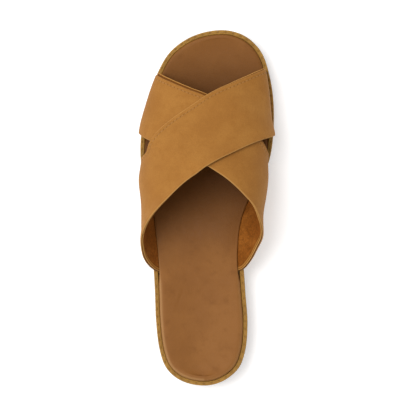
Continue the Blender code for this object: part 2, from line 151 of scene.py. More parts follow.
OUTER_SIDE = [(turn_of(row.along), row.outer * local_width(row.along)) for row in OUTLINE]
INNER_SIDE = [(turn_of(row.along), row.inner * local_width(row.along)) for row in OUTLINE]


def outline(lap):
    """Points of the sole's edge: lap 0 to 1 up the outer side, 1 to 2 down the inner side."""
    lap = np.mod(lap, 2)
    turn = np.where(lap <= 1, lap, 2 - lap)
    x = np.where(lap <= 1, curve(OUTER_SIDE, turn), curve(INNER_SIDE, turn))
    return np.stack([x, -LENGTH / 2 * np.cos(np.pi * turn)], axis=-1)


print("widest place on the inner side in mm:", round(max(x for _, x in INNER_SIDE) / MM, 1))

# %% [markdown]
# Every layer lies at its own distance inside the outline, square to it, as a seam allowance does.

# %% Inside the outline
NUDGE = 0.001


def inset_outline(lap, inset):
    """The sole's edge moved inwards, square to itself."""
    heading = outline(lap + NUDGE) - outline(lap - NUDGE)
    heading /= np.linalg.norm(heading, axis=-1, keepdims=True)
    inwards = np.stack([heading[..., 1], -heading[..., 0]], axis=-1)
    return outline(lap) + inwards * np.asarray(inset)[..., None]


def inset_x(along, inner, inset):
    """Place across the shoe of the sole's edge moved inwards. inner says on which side."""
    def side_x(place):
        turn = turn_of(place)
        return np.where(inner, curve(INNER_SIDE, turn), curve(OUTER_SIDE, turn))

    slope = (side_x(along + NUDGE) - side_x(along - NUDGE)) / (2 * NUDGE * LENGTH)
    return side_x(along) - np.where(inner, 1, -1) * inset * np.hypot(1, slope)


def lap_lengths(inset, count=4000):
    """Laps round the shoe, and how far along the edge each of them is."""
    laps = np.linspace(0, 2, count + 1)
    spots = inset_outline(laps, inset)
    steps = np.linalg.norm(np.diff(spots, axis=0), axis=1)
    return laps, np.concatenate([[0], np.cumsum(steps)])


print(f"round the sole: {lap_lengths(0.0)[1][-1] / MM:.0f} mm")

# %% [markdown]
# Colours are picked as sRGB hex values, as in a photo editor, and turned to the linear values of
# the shader. One small function adds any node: its settings by name, and its sockets, each with a
# number, a hex colour or the output that feeds it. It gives back one output, so that a material
# reads from top to bottom.

# %% Shader nodes
def linear(code):
    """Linear colour of an sRGB hex value."""
    parts = [int(code[i:i + 2], 16) / 255 for i in (1, 3, 5)]
    return (*[c / 12.92 if c <= 0.04045 else ((c + 0.055) / 1.055) ** 2.4 for c in parts], 1.0)


def set_sockets(tree, node, sockets):
    for name, value in sockets.items():
        if isinstance(value, bpy.types.NodeSocket):
            tree.links.new(value, node.inputs[name])
        else:
            node.inputs[name].default_value = linear(value) if isinstance(value, str) else value


def add_node(tree, kind, sockets, take=0, **settings):
    """Adds one node and gives back the output named or numbered by take."""
    node = tree.nodes.new("ShaderNode" + kind)
    for name, value in settings.items():
        setattr(node, name, value)
    set_sockets(tree, node, sockets)
    return node.outputs[take]


def new_material(name, **shader):
    """Material with its Principled shader set, and the place on the object that patterns read."""
    material = bpy.data.materials.new(name)
    material.use_nodes = True
    tree = material.node_tree
    sockets = {socket.replace("_", " "): value for socket, value in shader.items()}
    set_sockets(tree, tree.nodes["Principled BSDF"], sockets)
    return material, tree, add_node(tree, "TexCoord", {}, "Object")


print("middle grey #808080 in linear light:", round(linear("#808080")[0], 3))

# %% [markdown]
# Leather is never one flat colour. Two mixes come back in every finish: soft patches of two
# colours at a size in millimetres, and a tint where a measure of the piece, such as the distance
# from its edge, lies in a range.

# %% Patches and tints
def tint(tree, colour, measure, start, end, paint):
    """Colour that turns to paint while the measure goes from start to end."""
    share = add_node(tree, "MapRange", {"Value": measure, "From Min": start, "From Max": end},
                     interpolation_type="SMOOTHSTEP")
    return add_node(tree, "Mix", {0: share, 6: colour, 7: paint}, 2, data_type="RGBA")


def patches(tree, place, size_mm, dark, light, start=0.35, end=0.7):
    """Patches about size_mm wide, from a dark to a light colour, and the height behind them."""
    height = add_node(tree, "TexNoise", {
        "Vector": place, "Scale": 1 / (size_mm * MM), "Detail": 3.0, "Roughness": 0.6})
    return tint(tree, dark, height, start, end, light), height


def grained(tree, place, size_mm, colour, shade, strength):
    """Fine grain: the colour darkened in specks, and the height of the grain."""
    speck, height = patches(tree, place, size_mm, shade, "#ffffff", 0.3, 0.75)
    mixed = add_node(tree, "Mix", {0: strength, 6: colour, 7: speck}, 2,
                     data_type="RGBA", blend_type="MULTIPLY")
    return mixed, height


def dress(material, colour, normal):
    """Joins the colour and the relief to the shader."""
    shader = material.node_tree.nodes["Principled BSDF"]
    set_sockets(material.node_tree, shader, {"Base Color": colour, "Normal": normal})
    print("finish:", material.name)
    return material


# %% [markdown]
# Nubuck is leather sanded on its grain side, with a nap a fraction of a millimetre long. It has no
# gloss, looks lighter where it is seen edge on, and is cloudy where the nap lies another way. Its
# cut edges are painted lighter, partly as wear and partly as a painted highlight, and a painted
# shade darkens a soft spot at each needle hole between two stitches. The nap is drawn at 0.9 mm,
# coarser than the real one, which would not show from so far.

# %% Nubuck of the straps
SEAM_IN = 2.5 * MM
SEAM_PITCH = 2.9 * MM


def nubuck():
    material, tree, place = new_material(
        "tan_nubuck", Roughness=0.88, IOR=1.45, Sheen_Weight=0.13, Sheen_Roughness=0.45,
        Sheen_Tint="#ecc898", Specular_IOR_Level=0.25)
    clouds, _ = patches(tree, place, 22, "#9c672b", "#a67132", 0.3, 0.7)
    colour, brushed = patches(tree, place, 5.0, clouds, "#9b6629", 0.45, 0.85)
    colour, nap = grained(tree, place, 0.9, colour, "#ececec", 0.8)
    rubbed_and_highlight, phase, front, inside = (
        add_node(tree, "Attribute", {}, "Fac", attribute_name=label)
        for label in ("rubbed_and_highlight", "seam_phase", "front_mm", "inside"))
    # lighter cut edges, partly wear and partly a painted highlight, strongest on the rear edges
    colour = tint(tree, colour, rubbed_and_highlight, 0.0, 1.0, "#b88a4e")
    beside = add_node(tree, "Math", {0: phase, 1: 0.5}, operation="PINGPONG")
    spot = add_node(tree, "CombineXYZ", {"X": beside, "Y": front})
    from_hole = add_node(tree, "VectorMath", {
        0: spot, 1: (SEAM_PITCH / MM, 1, 0), 2: (0, -SEAM_IN / MM, 0)}, operation="MULTIPLY_ADD")
    distance = add_node(tree, "VectorMath", {0: from_hole}, "Value", operation="LENGTH")
    # painted shade of the needle holes: a soft dark spot between two stitches
    colour = tint(tree, colour, distance, 0.62, 0.2, "#7a5222")
    colour = tint(tree, colour, inside, 0.1, 0.6, "#5c3715")
    coarse = add_node(tree, "Bump", {"Height": brushed, "Distance": 0.12 * MM})
    fine = add_node(tree, "Bump", {"Height": nap, "Distance": 0.10 * MM, "Normal": coarse})
    return dress(material, colour, fine)


NUBUCK = nubuck()

# %% [markdown]
# The lining is a soft split leather, suede on its visible side: warmer and redder than the
# outside, with a longer nap that takes the light in blotches. Its edge is turned in and stitched,
# which shows as a lighter strip between two dark lines. Where the nubuck's front edge lies over
# it, a painted shade darkens the crevice.

# %% Suede of the lining
def suede():
    material, tree, place = new_material(
        "orange_suede", Roughness=0.95, IOR=1.45, Sheen_Weight=0.2, Sheen_Roughness=0.5,
        Sheen_Tint="#d08040", Specular_IOR_Level=0.1)
    clouds, _ = patches(tree, place, 14, "#8b4f18", "#a66425")
    colour, _ = patches(tree, place, 4.0, clouds, "#7a4614", 0.45, 0.85)
    colour, nap = grained(tree, place, 1.3, colour, "#c8c8c8", 0.8)
    edge, front = (add_node(tree, "Attribute", {}, "Fac", attribute_name=label)
                   for label in ("edge_mm", "front_mm"))
    colour = tint(tree, colour, edge, 2.5, 2.2, "#a26c30")
    # painted shade of the crevice under the nubuck's front edge, 1.2 to 2.4 mm behind the lining's
    # edge
    painted_crevice_shade = tint(tree, colour, front, 0.8, 1.2, "#6a3f18")
    beside_front = add_node(tree, "Math", {0: front, 1: 2.4}, operation="LESS_THAN")
    colour = add_node(tree, "Mix", {0: beside_front, 6: colour, 7: painted_crevice_shade}, 2, data_type="RGBA")
    for line_mm in (0.75, 2.5):
        line = add_node(tree, "Math", {0: edge, 1: line_mm, 2: 0.22}, operation="COMPARE")
        colour = add_node(tree, "Mix", {0: line, 6: colour, 7: "#62390f"}, 2, data_type="RGBA")
    colour = tint(tree, colour, edge, 0.6, 0.3, "#b98748")
    relief = add_node(tree, "Bump", {"Height": nap, "Distance": 0.25 * MM})
    return dress(material, colour, relief)


SUEDE = suede()

# %% [markdown]
# The footbed wears smooth, vegetable tanned leather. Its grain is fine, with pores under a
# millimetre, and its low waxed gloss changes from patch to patch. A painted highlight lightens
# the rounded edge of the heel, more on the outer side, and a painted shade darkens the footbed
# under the straps, deepest under their crossing and fading towards heel and toe.

# %% Leather of the footbed
def footbed_leather():
    material, tree, place = new_material(
        "brown_footbed_leather", IOR=1.48, Specular_IOR_Level=0.12)
    clouds, _ = patches(tree, place, 30, "#835427", "#8b5b2c")
    colour, pull_up = patches(tree, place, 7.0, clouds, "#7b4e24", 0.5, 0.9)
    # painted highlight: this label lightens the rounded edge of the heel, more on the outer side
    stretched = add_node(tree, "Attribute", {}, "Fac", attribute_name="stretched")
    colour = tint(tree, colour, stretched, 0.0, 1.6, "#a97f52")
    lengthwise = add_node(tree, "SeparateXYZ", {"Vector": place}, "Y")
    # painted shade: darker under the straps, deepest under their crossing, fading towards heel and
    # toe
    darkened = tint(tree, colour, lengthwise, -50 * MM, 34 * MM, "#5c350d")
    colour = tint(tree, darkened, lengthwise, 62 * MM, 135 * MM, colour)
    cells = add_node(tree, "TexVoronoi", {"Vector": place, "Scale": 1 / (0.9 * MM)},
                     feature="DISTANCE_TO_EDGE")
    pores = add_node(tree, "MapRange", {"Value": cells, "From Max": 0.25},
                     interpolation_type="SMOOTHSTEP")
    _, waves = patches(tree, place, 3.0, clouds, clouds)
    gloss = add_node(tree, "MapRange", {
        "Value": pull_up, "From Min": 0.2, "From Max": 0.9, "To Min": 0.42, "To Max": 0.56})
    set_sockets(tree, tree.nodes["Principled BSDF"], {"Roughness": gloss})
    grain = add_node(tree, "Bump", {"Height": pores, "Distance": 0.05 * MM})
    relief = add_node(tree, "Bump", {"Height": waves, "Distance": 0.10 * MM, "Normal": grain})
    return dress(material, colour, relief)


FOOTBED_LEATHER = footbed_leather()

# %% [markdown]
# Welt and midsole are wrapped in a matt mustard leather, darker where the stitches press it. The
# outsole is moulded rubber, a darker brown with a fine texture. The thread is waxed, one shade
# from the leather that it sews.

# %% Welt, midsole, rubber and thread
def wrapped_leather(name, light, dark, roughness):
    material, tree, place = new_material(
        name, Roughness=roughness, IOR=1.46, Specular_IOR_Level=0.3)
    colour, _ = patches(tree, place, 9, dark, light)
    colour, grain = grained(tree, place, 0.8, colour, "#d8d8d8", 0.7)
    pressed = add_node(tree, "Attribute", {}, "Fac", attribute_name="pressed")
    colour = tint(tree, colour, pressed, 0.2, 1.2, "#86602a")
    relief = add_node(tree, "Bump", {"Height": grain, "Distance": 0.08 * MM})
    return dress(material, colour, relief)


def rubber():
    material, tree, place = new_material("brown_rubber", Roughness=0.62, IOR=1.52)
    colour, _ = patches(tree, place, 15, "#5f3f24", "#69472a", 0.3, 0.7)
    _, texture = patches(tree, place, 0.7, colour, colour)
    relief = add_node(tree, "Bump", {"Height": texture, "Distance": 0.06 * MM})
    return dress(material, colour, relief)


def thread(name, light, dark):
    material, tree, place = new_material(name, Roughness=0.6, IOR=1.5)
    colour, strands = patches(tree, place, 0.4, dark, light, 0.35, 0.65)
    relief = add_node(tree, "Bump", {"Height": strands, "Distance": 0.08 * MM})
    return dress(material, colour, relief)


WELT_LEATHER = wrapped_leather("mustard_welt_leather", "#b08336", "#9c722e", 0.62)
MIDSOLE_LEATHER = wrapped_leather("mustard_midsole_wrap", "#93692f", "#805a27", 0.7)
RUBBER = rubber()
STRAP_THREAD = thread("strap_thread", "#a8763a", "#8d612d")
WELT_THREAD = thread("welt_thread", "#ab7f3a", "#93692c")

# %% [markdown]
# Each layer of the sole is a circle shaped to the outline, then extruded again and again through a
# few profile points. The number of each point round the ring is kept in an attribute, so that
# every new ring can be placed.

# %% Rings
def deselect():
    if bpy.context.object and bpy.context.object.mode != "OBJECT":
        bpy.ops.object.mode_set(mode="OBJECT")
    bpy.ops.object.select_all(action="DESELECT")


def name_new(name, points):
    """Names the primitive that was just added and puts its points where they belong."""
    piece = bpy.context.object
    piece.name = piece.data.name = name
    piece.data.vertices.foreach_set("co", np.ascontiguousarray(points, dtype=np.float32).ravel())
    return piece


def ring_points(count, inset, height):
    """Ring of the shoe at an inset from the outline, at the height that height(along) gives."""
    lap = np.arange(count) * 2 / count
    spots = inset_outline(lap, inset)
    return np.column_stack([spots, height(spots[:, 1] / LENGTH + 0.5)])


def add_ring_wall(name, rings):
    """Circle shaped to the first ring and extruded through the others."""
    deselect()
    bpy.ops.mesh.primitive_circle_add(vertices=len(rings[0]), radius=1.0)
    piece = name_new(name, rings[0])
    number = piece.data.attributes.new("number", "INT", "POINT")
    number.data.foreach_set("value", np.arange(len(rings[0]), dtype=np.int32))
    bpy.ops.object.mode_set(mode="EDIT")
    bpy.ops.mesh.select_all(action="SELECT")
    for points in rings[1:]:
        bpy.ops.mesh.extrude_region_move()
        bm = bmesh.from_edit_mesh(piece.data)
        layer = bm.verts.layers.int["number"]
        for vert in bm.verts:
            if vert.select:
                vert.co = points[vert[layer]]
        bmesh.update_edit_mesh(piece.data)
    bpy.ops.object.mode_set(mode="OBJECT")
    print(f"{name}: {len(rings)} rings of {len(rings[0])} points")
    return piece


# %% [markdown]
# Such a tube is closed with a grid that spans the shoe from side to side. Its edge points are the
# ring's own, so merging doubles joins them.

# %% Sheets and labels
def grid_places(columns, rows):
    """Column and row of each point of the grid that was just added."""
    flat = np.empty(len(bpy.context.object.data.vertices) * 3)
    bpy.context.object.data.vertices.foreach_get("co", flat)
    return (np.rint((flat[start::3] + 0.5) * count).astype(int)
            for start, count in ((0, columns), (1, rows)))


def add_sheet(name, ring, columns, relief=None):
    """Grid laid across the shoe from one side of a ring to the other."""
    rows = len(ring) // 2
    deselect()
    bpy.ops.mesh.primitive_grid_add(x_subdivisions=columns, y_subdivisions=rows, size=1.0)
    column, row = grid_places(columns, rows)
    share = column / columns
    start, end = ring[row], ring[-row]
    points = start + (end - start) * share[:, None]
    if relief is not None:
        points[:, 2] += relief(points[:, 1] / LENGTH + 0.5, share)
    return name_new(name, points)


def label_points(piece, label, values):
    """Keeps one number per point, which a material reads by its name."""
    attribute = piece.data.attributes.new(label, "FLOAT", "POINT")
    attribute.data.foreach_set("value", values.ravel().astype(np.float32))


def join(pieces):
    deselect()
    for piece in pieces:
        piece.select_set(True)
    bpy.context.view_layer.objects.active = pieces[0]
    bpy.ops.object.join()
    return pieces[0]


# %% [markdown]
# Every piece has its doubles merged and its faces turned outwards, gets its material, and rides on
# the shoe's one body. Edges that don't join two faces would show a hole.

# %% Finishing a piece
MERGE = 0.004 * MM
TINY_EDGE = 0.001 * MM


def open_edges(piece):
    """How many edges don't join exactly two faces."""
    index = np.empty(len(piece.data.loops), dtype=np.int32)
    piece.data.loops.foreach_get("edge_index", index)
    return int((np.bincount(index, minlength=len(piece.data.edges)) != 2).sum())


def finish_piece(piece, material, angle=40):
    """Merges doubles, turns the faces outwards and gives the piece its finish and its body."""
    deselect()
    piece.select_set(True)
    bpy.context.view_layer.objects.active = piece
    bpy.ops.object.mode_set(mode="EDIT")
    bpy.ops.mesh.select_all(action="SELECT")
    bpy.ops.mesh.remove_doubles(threshold=MERGE)
    bpy.ops.mesh.dissolve_degenerate(threshold=TINY_EDGE)
    bpy.ops.mesh.normals_make_consistent(inside=False)
    bpy.ops.object.mode_set(mode="OBJECT")
    piece.data.materials.clear()
    piece.data.materials.append(material)
    bpy.ops.object.shade_smooth_by_angle(angle=math.radians(angle))
    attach(piece, "root")
    deselect()
    print(f"{piece.name}: {len(piece.data.polygons)} faces, {open_edges(piece)} open edges")


# %% [markdown]
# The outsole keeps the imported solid, whose tread is already cut. It only gets its rubber.

# %% Outsole
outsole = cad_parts["outsole"]
outsole.data.materials.clear()
outsole.data.materials.append(RUBBER)
print("outsole:", len(outsole.data.polygons), "faces of the packed solid")

# %% [markdown]
# The midsole is foam wrapped in leather, with soft edges and a pressed line round it. The circle
# is extruded through the wall's profile, and grids close both ends.

# %% Midsole
MIDSOLE_POINTS = 480
END_COLUMNS = 8


def midsole_height(share, shift):
    """Height at a share of the midsole's thickness, and a shift from there."""
    def height(along):
        bottom = ground(along) + OUTSOLE_THICK + CLEAR
        top = seat(along) - CLEAR
        return bottom + (top - bottom) * share + shift
    return height


def make_midsole():
    wall, bulge, soft, corner = 0.5 * MM, 0.15 * MM, 0.6 * MM, 0.3
    line, depth, half, flank = 0.42, 0.7 * MM, 0.7 * MM, 0.35
    profile = [
        (wall + soft, 0.0, 0.0),
        (wall + soft * corner, 0.0, soft * corner),
        (wall, 0.0, soft),
        (wall - bulge, 0.2, 0.0),
        (wall, line, -half),
        (wall + depth, line, -half * flank),
        (wall + depth, line, half * flank),
        (wall, line, half),
        (wall - bulge, 0.7, 0.0),
        (wall, 1.0, -soft),
        (wall + soft * corner, 1.0, -soft * corner),
        (wall + soft, 1.0, 0.0),
    ]
    rings = [ring_points(MIDSOLE_POINTS, inset, midsole_height(share, shift))
             for inset, share, shift in profile]
    wrap = add_ring_wall("midsole_wrap", rings)
    ends = [add_sheet("midsole_end", ring, END_COLUMNS) for ring in (rings[0], rings[-1])]
    piece = join([wrap, *ends])
    finish_piece(piece, MIDSOLE_LEATHER)
    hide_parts("midsole")


make_midsole()

# %% [markdown]
# The welt is a leather strip laid round the edge and stitched down. Its outer corner is rounded
# and burnished, a channel sinks the thread, and every stitch pulls the leather in a little. The
# profile's numbers are millimetres inwards and upwards, and the share of that pull.

# %% Welt
WELT_PITCH = 5.5 * MM
WELT_CHANNEL = 1.75 * MM
WELT_POINTS = 1080
WELT_PULL = 0.22 * MM
WELT_PROFILE = [
    (0.45, 0.10, 0.0), (0.12, 0.16, 0.0), (0.00, 0.50, 0.0), (-0.06, 1.20, 0.0),
    (-0.02, 1.90, 0.1), (0.12, 2.40, 0.3), (0.40, 2.74, 0.5), (0.75, 2.86, 0.8),
    (1.10, 2.84, 1.0), (1.35, 2.74, 1.0), (1.55, 2.60, 1.0), (1.75, 2.55, 1.0),
    (1.95, 2.60, 1.0), (2.15, 2.68, 0.8), (2.40, 2.68, 0.5), (2.65, 2.58, 0.3),
    (2.90, 2.36, 0.1), (3.05, 1.95, 0.0), (3.07, 0.60, 0.0), (2.80, 0.10, 0.0),
    (0.45, 0.10, 0.0),
]


def make_welt():
    laps, run = lap_lengths(WELT_CHANNEL)
    stitches = round(run[-1] / WELT_PITCH)
    phase = np.interp(np.arange(WELT_POINTS) * 2 / WELT_POINTS, laps, run) / run[-1] * stitches
    pull = np.cos(2 * np.pi * phase) * 0.5 + 0.5
    rings = []
    for inset, rise, pulled in WELT_PROFILE:
        ring = ring_points(WELT_POINTS, inset * MM, seat)
        ring[:, 2] += rise * MM - WELT_PULL * pulled * pull
        rings.append(ring)
    piece = add_ring_wall("welt_strip", rings)
    label_points(piece, "pressed", np.outer([row[2] for row in WELT_PROFILE], pull ** 2))
    finish_piece(piece, WELT_LEATHER)
    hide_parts("welt")
    return stitches


welt_stitches = make_welt()
print("welt stitches:", welt_stitches)

# %% [markdown]
# A stitch is a short, flattened thread whose ends dive into the leather. It is modelled once from
# a small sphere, and copied along the seam.

# %% Stitches
END_DIVE = 0.45


def unit(vectors):
    return vectors / np.linalg.norm(vectors, axis=-1, keepdims=True)


def one_stitch(name, length, width, thick):
    bpy.ops.mesh.primitive_uv_sphere_add(segments=8, ring_count=7, radius=1.0)
    return name_new(name, np.array([
        (vert.co.z * length / 2, vert.co.x * width / 2,
         vert.co.y * thick / 2 - abs(vert.co.z) ** 3 * thick * END_DIVE)
        for vert in bpy.context.object.data.vertices
    ]))


def add_seam(name, middles, headings, ups, size, material):
    """Copies one stitch to each place, with its length along the seam."""
    deselect()
    pattern = one_stitch(name, *size)
    copies = []
    for middle, heading, up in zip(middles, headings, ups):
        turn = np.eye(4)
        turn[:3] = np.column_stack([heading, np.cross(up, heading), up, middle])
        copy = pattern.copy()
        copy.data = pattern.data.copy()
        copy.data.transform(Matrix(turn))
        bpy.context.scene.collection.objects.link(copy)
        copies.append(copy)
    bpy.data.objects.remove(pattern)
    piece = join(copies)
    piece.name = piece.data.name = name
    finish_piece(piece, material, 60)
    print(f"{name}: {len(copies)} stitches of {size[0] / MM:.1f} mm")


# %% [markdown]
# The welt's seam is the coarsest on the shoe. Its thread lies in the channel, just proud of it.

# %% Welt seam
def sew_welt():
    laps, run = lap_lengths(WELT_CHANNEL)
    places = np.interp((np.arange(welt_stitches) + 0.5) / welt_stitches * run[-1], run, laps)

    def at(lap):
        spots = inset_outline(lap, WELT_CHANNEL)
        return np.column_stack([spots, seat(spots[:, 1] / LENGTH + 0.5) + 2.62 * MM])

    headings = unit(at(places + NUDGE) - at(places - NUDGE))
    inwards = unit(np.cross(headings, [0, 0, 1]))
    ups = unit(np.cross(inwards, headings))
    size = (4.3 * MM, 0.75 * MM, 0.6 * MM)
    add_seam("welt_stitches", at(places), headings, ups, size, WELT_THREAD)


sew_welt()

# %% [markdown]
# Worn leather has soft creases. Each is listed with where it lies, which way it runs, and how
# long, wide and deep it is. It is a trough with a low ridge beside it, and fades out at both ends.

# %% Creases
Crease = namedtuple("Crease", "place along heading length width depth")
RIDGE = 0.7


def crease_height(creases, along, place, breadth):
    """Height of all the creases. place is a share of the breadth across the shoe."""
    total = np.zeros_like(along)
    for crease in creases:
        x = (place - crease.place) * breadth
        y = (along - crease.along) * LENGTH
        turn = math.radians(crease.heading)
        lengthwise = x * math.cos(turn) + y * math.sin(turn)
        across = (y * math.cos(turn) - x * math.sin(turn)) / crease.width
        fade = np.exp(-(lengthwise / crease.length * 2) ** 2)
        total += crease.depth * fade * (RIDGE * np.exp(-((across - 1) ** 2)) - np.exp(-across ** 2))
    return total


# %% [markdown]
# The straps' edges are lines over the foot. Girth goes from 0 at the outer foot to 1 at the inner
# one, and the second number is the place along the shoe.

# %% Edges of the straps
OVER_FRONT = [
    (0.00, 0.622), (0.10, 0.640), (0.20, 0.665), (0.25, 0.706), (0.31, 0.744), (0.38, 0.778),
    (0.465, 0.815), (0.59, 0.847), (0.705, 0.869), (0.80, 0.884), (0.92, 0.892),
    (1.00, 0.880),
]
OVER_REAR = [
    (0.00, 0.316), (0.05, 0.328), (0.11, 0.362), (0.16, 0.398), (0.22, 0.438), (0.28, 0.480),
    (0.34, 0.520), (0.42, 0.575), (0.495, 0.613), (0.60, 0.650), (0.715, 0.682), (0.83, 0.700),
    (1.00, 0.706),
]
UNDER_FRONT = [
    (0.00, 0.871), (0.10, 0.880), (0.215, 0.865), (0.295, 0.850), (0.365, 0.836), (0.465, 0.815),
    (0.60, 0.765), (0.70, 0.720), (0.765, 0.690), (0.83, 0.665), (0.90, 0.655), (1.00, 0.650),
]
UNDER_REAR = [
    (0.00, 0.712), (0.105, 0.709), (0.225, 0.685), (0.36, 0.655), (0.495, 0.613), (0.565, 0.585),
    (0.665, 0.530), (0.71, 0.505), (0.76, 0.470), (0.82, 0.432), (0.87, 0.398), (0.91, 0.357),
    (0.95, 0.331), (1.00, 0.320),
]
print(f"over strap at its outer foot: {(OVER_FRONT[0][1] - OVER_REAR[0][1]) * LENGTH / MM:.0f} mm")

# %% [markdown]
# The straps go down between the welt and the footbed, so the footbed steps back beside each foot.
# Its base does so sharply, and its rounded top in a longer, softer curve.

# %% Recess of the footbed
RECESS_MARGIN = 0.4 * MM
TOE_RAMP = 2.5 * MM
HEEL_RAMP = 9.0 * MM
BASE_RAMP = 1.2 * MM


def strap_recess(along, inner, front_ramp, rear_ramp):
    """How far the footbed steps back for the straps' feet, 0 to 1."""
    foot = np.where(inner, 1.0, 0.0)
    margin, ahead, behind = (size / LENGTH for size in (RECESS_MARGIN, front_ramp, rear_ramp))
    deepest = np.zeros_like(along)
    for front, rear in ((OVER_FRONT, OVER_REAR), (UNDER_FRONT, UNDER_REAR)):
        start, end = curve(rear, foot) - margin, curve(front, foot) + margin
        inside = ease(start - behind, start, along) * (1 - ease(end, end + ahead, along))
        deepest = np.maximum(deepest, inside)
    return deepest


# %% [markdown]
# The top of the footbed is foam under leather: a cup for the heel, a shallow dish under the ball,
# a rise under the arch, and one soft crease in the heel.

# %% Top of the footbed
HEEL_CUP = 2.6 * MM
TOE_DISH = 0.9 * MM
ARCH_RISE = 2.2 * MM
DISH_POWER = 1.3
ARCH_LEAD = 0.05
TIP_FADE = 0.06
FOOTBED_CREASES = [Crease(0.21, 0.245, 62, 16 * MM, 1.6 * MM, 0.22 * MM)]


def footbed_relief(along, share):
    depth = HEEL_CUP + (TOE_DISH - HEEL_CUP) * ease(WAIST_START, BALL_START, along)
    dish = depth * np.sin(np.pi * share) ** DISH_POWER
    waist = (along - WAIST_START + ARCH_LEAD) / (WAIST_END - WAIST_START + ARCH_LEAD)
    waist = np.clip(waist, 0.0, 1.0)
    arch = ARCH_RISE * np.sin(np.pi * waist) ** 2 * np.sin(np.pi * share ** 2)
    tips = ease(0.0, TIP_FADE, along) * (1 - ease(1 - TIP_FADE, 1.0, along))
    return (arch - dish) * tips + crease_height(FOOTBED_CREASES, along, share, local_width(along))


# %% [markdown]
# The pad's edge is puffed and rounded like a cushion's: the leather is pulled over the foam and
# glued below. It is lower and tighter at the toe and beside the straps. No cloth is simulated,
# because the leather is glued down and a drawn curve gives its shape.

# %% Edge of the footbed
SEAM_WIDTH = 0.7 * MM
FOOTBED_RISE = 2.6 * MM
FOOTBED_ROUND = 3.4 * MM
TOE_DROP = 0.9 * MM
TIGHTER = 0.35
ROUND_SHAPE = 0.75
ROUND_STEPS = 14


def footbed_profile(toe, recess):
    """Rings from the base up and over the edge: inset, height, and how far each is puffed."""
    wall = WELT_WIDTH + SEAM_WIDTH
    top = WELT_THICK + FOOTBED_RISE - TOE_DROP * toe
    size = FOOTBED_ROUND * (1 - TIGHTER * np.maximum(toe, recess))
    profile = [
        (wall + 0.5 * MM, CLEAR * 0.4, 0.0),
        (wall, CLEAR + 0.3 * MM, 0.0),
        (wall, 1.2 * MM, 0.5),
    ]
    for bend in np.linspace(0, np.pi / 2, ROUND_STEPS):
        inwards = 1 - math.cos(bend) ** ROUND_SHAPE
        below = 1 - math.sin(bend) ** ROUND_SHAPE
        profile.append((wall + size * inwards, top - size * below, math.cos(bend)))
    return profile


# %% [markdown]
# Each ring of that profile keeps clear of the straps, which lean away from the footbed as they
# rise. A band on the heel's rounded edge, stronger on the outer side, is kept as a label that
# paints a highlight there.

# %% Footbed
FOOTBED_POINTS = 720
TOP_COLUMNS = 56
PUFF = 0.5 * MM
FOOT_PASSAGE = 1.3 * MM
REAR_LEAN, FRONT_LEAN = 0.6, 0.15
HIGHLIGHT_AT, HIGHLIGHT_WIDTH = 0.62, 0.36


def footbed_rings(profile, along, recess, inner):
    lean = REAR_LEAN - (REAR_LEAN - FRONT_LEAN) * ease(0.45, 0.62, along)
    base_recess = strap_recess(along, inner, BASE_RAMP, BASE_RAMP)
    for inset, rise, puffed in profile:
        leaned = lean * np.maximum(0.0, rise - WELT_THICK - CLEAR)
        raised = ease(WELT_THICK - 1.2 * MM, WELT_THICK + 1.0 * MM, rise)
        back = base_recess + (recess - base_recess) * raised
        inset = inset + (FOOT_PASSAGE - leaned) * back - PUFF * puffed * (1 - back)
        ring = ring_points(FOOTBED_POINTS, inset, seat)
        ring[:, 2] += rise
        yield ring


def make_footbed():
    lap = np.arange(FOOTBED_POINTS) * 2 / FOOTBED_POINTS
    along = outline(lap)[:, 1] / LENGTH + 0.5
    recess = strap_recess(along, lap > 1, TOE_RAMP, HEEL_RAMP)
    profile = footbed_profile(ease(0.60, 0.80, along), recess)
    rings = list(footbed_rings(profile, along, recess, lap > 1))
    edge = add_ring_wall("footbed_pad", rings)
    # painted highlight band over the heel's rounded edge, half as strong on the inner side
    stretched = [math.exp(-((puffed - HIGHLIGHT_AT) / HIGHLIGHT_WIDTH) ** 2)
                 for _, _, puffed in profile]
    rear = (1 - ease(0.40, 0.62, along)) * np.where(lap > 1, 0.5, 1.0)
    label_points(edge, "stretched", np.outer(stretched, rear))
    piece = join([
        edge,
        add_sheet("footbed_top", rings[-1], TOP_COLUMNS, footbed_relief),
        add_sheet("footbed_bottom", rings[0], END_COLUMNS),
    ])
    finish_piece(piece, FOOTBED_LEATHER)
    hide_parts("footbed")


make_footbed()

# %% [markdown]
# The straps are drawn on the last, the solid foot that a shoe is built on. Its table gives, along
# the shoe, the height and place of the crest, how far each side swells out and how high up that
# is, as shares of the instep and the ball width.

# %% Table of the last
INSTEP = 50.0 * MM
STRAP_WALL = 2.2 * MM
WALL_LEAN, WALL_RISE, WALL_UPRIGHT = 0.62, 0.35, 0.45
FOOT_SHIFT = 0.3 * MM
Section = namedtuple("Section", "along crest ridge swell_outer swell_inner wide_outer wide_inner")
LAST = [
    Section(0.30, 1.34, 0.000, 0.080, 0.135, 0.40, 0.50),
    Section(0.42, 1.26, 0.010, 0.085, 0.184, 0.42, 0.52),
    Section(0.52, 1.14, 0.030, 0.059, 0.122, 0.40, 0.48),
    Section(0.58, 1.06, 0.042, 0.052, 0.083, 0.37, 0.44),
    Section(0.64, 0.96, 0.055, 0.016, 0.030, 0.32, 0.38),
    Section(0.71, 0.82, 0.070, 0.040, 0.026, 0.28, 0.32),
    Section(0.82, 0.60, 0.080, 0.030, 0.014, 0.22, 0.24),
    Section(0.90, 0.48, 0.080, 0.034, 0.022, 0.18, 0.20),
]


